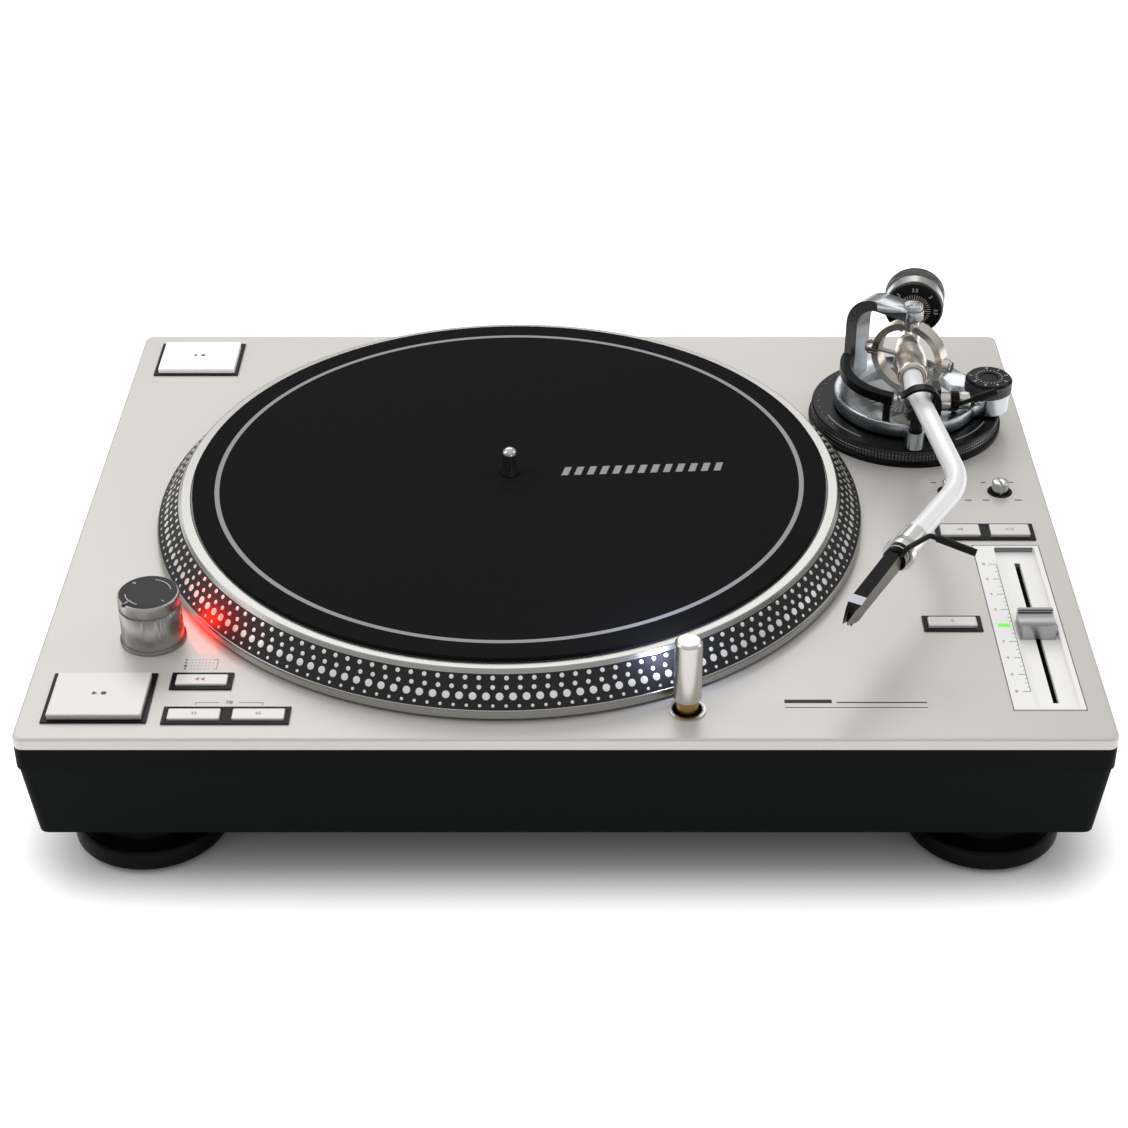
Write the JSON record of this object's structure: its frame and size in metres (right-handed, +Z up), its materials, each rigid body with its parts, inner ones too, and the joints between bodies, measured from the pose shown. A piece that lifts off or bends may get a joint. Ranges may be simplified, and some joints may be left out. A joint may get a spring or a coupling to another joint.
{
  "type": "turntable record player",
  "caption": "Direct-drive turntable record player with a silver top plate, dotted strobe platter, slipmat, S-shaped tonearm, pitch fader, push buttons and four round isolating feet.",
  "frame": {"origin": "centre of the footprint on the surface the feet stand on", "axes": "+X to the right along the front edge, +Y to the back, +Z up"},
  "size_m": [0.458, 0.354, 0.145],
  "materials": {
    "silver_plate": "satin",
    "black_case": "fine matte",
    "steel": "satin",
    "rubber": "matte",
    "black_plastic": "semi gloss",
    "brass": "satin",
    "circuit_board": "matte",
    "cast_alloy": "turned",
    "copper_coil": "wound",
    "pale_panel": "satin",
    "red_lens": "clear red",
    "bright_metal": "machined",
    "magnet": "sintered",
    "chrome": "polished",
    "felt": "felt",
    "arm_silver": "satin",
    "grey_plastic": "satin",
    "pale_metal": "satin",
    "lit_white": "lit from below"
  },
  "bodies": {
    "plinth": {"top_plate": "silver_plate", "upper_band": "black_case", "base_tub": "black_case", "bottom_cover": "black_case", "case_screws": "steel", "foot_cups": "black_case", "foot_pads": "rubber", "rear_panel": "black_case", "power_inlet": "black_plastic", "signal_jacks": "brass", "main_board": "circuit_board", "transformer": "steel", "bearing_housing": "cast_alloy", "stator": "copper_coil", "button_housings": "black_plastic", "button_switches": "circuit_board", "pitch_panel": "pale_panel", "fader_unit": "steel", "knob_pots": "black_plastic", "strobe_housing": "bright_metal", "strobe_lens": "red_lens", "target_light_sleeve": "steel"},
    "start_stop_front_key": {"start_stop_front_button": "pale_metal"},
    "start_stop_rear_key": {"start_stop_rear_button": "lit_white"},
    "reverse_key": {"reverse_button": "pale_metal"},
    "speed_33_key": {"speed_33_button": "pale_metal"},
    "speed_45_key": {"speed_45_button": "pale_metal"},
    "range_narrow_key": {"range_narrow_button": "pale_metal"},
    "range_wide_key": {"range_wide_button": "pale_metal"},
    "reset_key": {"reset_button": "pale_metal"},
    "fader": {"pitch_fader": "bright_metal"},
    "power_switch": {"power_dial": "bright_metal"},
    "target_lamp": {"target_light": "bright_metal"},
    "knob_left": {"level_knob_left": "chrome"},
    "knob_right": {"level_knob_right": "chrome"},
    "platter": {"platter": "cast_alloy", "rotor_magnet": "magnet", "spindle": "chrome"},
    "mat": {"slipmat": "felt"},
    "height_ring": {"height_dial": "black_plastic"},
    "arm_base": {"arm_base": "bright_metal", "pivot_bracket": "chrome", "cue_housing": "bright_metal", "arm_rest": "black_plastic"},
    "antiskate": {"antiskate_knob": "black_plastic"},
    "height_lock": {"lock_lever": "steel"},
    "cue": {"cue_lever": "chrome"},
    "lifter": {"arm_lifter": "black_plastic"},
    "clip": {"arm_clip": "black_plastic"},
    "gimbal": {"gimbal_ring": "chrome", "pivot_screws": "steel"},
    "arm": {"bearing_sleeve": "bright_metal", "arm_tube": "arm_silver"},
    "collar": {"locking_collar": "chrome"},
    "cartridge": {"cartridge_body": "black_plastic", "finger_lift": "black_plastic"},
    "stylus": {"stylus_unit": "grey_plastic"},
    "weight_bush": {"counterweight_bush": "brass"},
    "weight": {"counterweight": "bright_metal"},
    "force_ring": {"force_dial": "black_plastic"}
  },
  "joints": [
    {"name": "start_stop_front_press", "type": "slide", "parent": "plinth", "child": "start_stop_front_key", "axis": [0, 0, -1], "range_m": [0, 0.001], "stiffness_N_per_m": 400, "springref_m": -0.001},
    {"name": "start_stop_rear_press", "type": "slide", "parent": "plinth", "child": "start_stop_rear_key", "axis": [0, 0, -1], "range_m": [0, 0.001], "stiffness_N_per_m": 400, "springref_m": -0.001},
    {"name": "reverse_press", "type": "slide", "parent": "plinth", "child": "reverse_key", "axis": [0, 0, -1], "range_m": [0, 0.001], "stiffness_N_per_m": 400, "springref_m": -0.001},
    {"name": "speed_33_press", "type": "slide", "parent": "plinth", "child": "speed_33_key", "axis": [0, 0, -1], "range_m": [0, 0.001], "stiffness_N_per_m": 400, "springref_m": -0.001},
    {"name": "speed_45_press", "type": "slide", "parent": "plinth", "child": "speed_45_key", "axis": [0, 0, -1], "range_m": [0, 0.001], "stiffness_N_per_m": 400, "springref_m": -0.001},
    {"name": "range_narrow_press", "type": "slide", "parent": "plinth", "child": "range_narrow_key", "axis": [0, 0, -1], "range_m": [0, 0.001], "stiffness_N_per_m": 400, "springref_m": -0.001},
    {"name": "range_wide_press", "type": "slide", "parent": "plinth", "child": "range_wide_key", "axis": [0, 0, -1], "range_m": [0, 0.001], "stiffness_N_per_m": 400, "springref_m": -0.001},
    {"name": "reset_press", "type": "slide", "parent": "plinth", "child": "reset_key", "axis": [0, 0, -1], "range_m": [0, 0.001], "stiffness_N_per_m": 400, "springref_m": -0.001},
    {"name": "pitch_slide", "type": "slide", "parent": "plinth", "child": "fader", "axis": [0, 1, 0], "range_m": [-0.05, 0.05]},
    {"name": "power_turn", "type": "hinge", "parent": "plinth", "child": "power_switch", "pos_m": [-0.181, -0.1043, 0.1], "axis": [0, 0, 1], "range_deg": [-50, 0]},
    {"name": "target_light_drop", "type": "slide", "parent": "plinth", "child": "target_lamp", "axis": [0, 0, -1], "range_m": [0, 0.033]},
    {"name": "knob_left_turn", "type": "hinge", "parent": "plinth", "child": "knob_left", "pos_m": [0.1838, 0.0172, 0.08], "axis": [0, 0, 1], "range_deg": [-140, 140]},
    {"name": "knob_right_turn", "type": "hinge", "parent": "plinth", "child": "knob_right", "pos_m": [0.2078, 0.0172, 0.08], "axis": [0, 0, 1], "range_deg": [-140, 140]},
    {"name": "platter_spin", "type": "hinge", "parent": "plinth", "child": "platter", "pos_m": [-0.0275, 0.001, 0.08], "axis": [0, 0, -1], "continuous": true},
    {"name": "slipmat_slip", "type": "hinge", "parent": "platter", "child": "mat", "pos_m": [-0.0275, 0.001, 0.1], "axis": [0, 0, -1], "continuous": true},
    {"name": "height_turn", "type": "hinge", "parent": "plinth", "child": "height_ring", "pos_m": [0.1695, 0.0872, 0.08], "axis": [0, 0, 1], "range_deg": [0, 270]},
    {"name": "arm_height", "type": "slide", "parent": "plinth", "child": "arm_base", "axis": [0, 0, 1], "range_m": [0, 0.006]},
    {"name": "antiskate_turn", "type": "hinge", "parent": "arm_base", "child": "antiskate", "pos_m": [0.2097, 0.0825, 0.102], "axis": [0, 0, 1], "range_deg": [0, 270]},
    {"name": "height_lock_turn", "type": "hinge", "parent": "arm_base", "child": "height_lock", "pos_m": [0.18895, 0.10734, 0.098], "axis": [0, 0, 1], "range_deg": [0, 60]},
    {"name": "cue_lever_turn", "type": "hinge", "parent": "arm_base", "child": "cue", "pos_m": [0.1905, 0.0661, 0.1027], "axis": [1, 0, 0], "range_deg": [0, 45]},
    {"name": "lifter_drop", "type": "slide", "parent": "arm_base", "child": "lifter", "axis": [0, 0, -1], "range_m": [0, 0.004]},
    {"name": "clip_turn", "type": "hinge", "parent": "arm_base", "child": "clip", "pos_m": [0.17735, 0.0435, 0.114], "axis": [0, 1, 0], "range_deg": [0, 80]},
    {"name": "arm_swing", "type": "hinge", "parent": "arm_base", "child": "gimbal", "pos_m": [0.1695, 0.0872, 0.116], "axis": [0, 0, -1], "range_deg": [0, 42]},
    {"name": "arm_lift", "type": "hinge", "parent": "gimbal", "child": "arm", "pos_m": [0.1695, 0.0872, 0.116], "axis": [-0.8616, 0.5075, 0], "range_deg": [0, 5]},
    {"name": "collar_turn", "type": "hinge", "parent": "arm", "child": "collar", "pos_m": [0.14607, -0.08961, 0.116], "axis": [0.5075, 0.8616, 0], "range_deg": [0, 60]},
    {"name": "cartridge_pull", "type": "slide", "parent": "arm", "child": "cartridge", "axis": [-0.5075, -0.8616, 0], "range_m": [0, 0.018]},
    {"name": "stylus_pull", "type": "slide", "parent": "cartridge", "child": "stylus", "axis": [-0.5075, -0.8616, 0], "range_m": [0, 0.01]},
    {"name": "weight_turn", "type": "hinge", "parent": "weight_bush", "child": "weight", "pos_m": [0.17749, 0.13656, 0.116], "axis": [0.1599, 0.9871, 0], "range_deg": [-360, 1080]},
    {"name": "weight_travel", "type": "slide", "parent": "arm", "child": "weight_bush", "axis": [0.1599, 0.9871, 0], "range_m": [-0.002, 0.006]},
    {"name": "force_dial_turn", "type": "hinge", "parent": "weight", "child": "force_ring", "pos_m": [0.17638, 0.12965, 0.116], "axis": [0.1599, 0.9871, 0], "range_deg": [-180, 180]}
  ],
  "couplings": [
    {"joint": "height_turn", "follows": "arm_height", "rad_per_m": 785.4},
    {"joint": "cue_lever_turn", "follows": "lifter_drop", "rad_per_m": 196.35},
    {"joint": "weight_turn", "follows": "weight_travel", "rad_per_m": 3141.6}
  ]
}
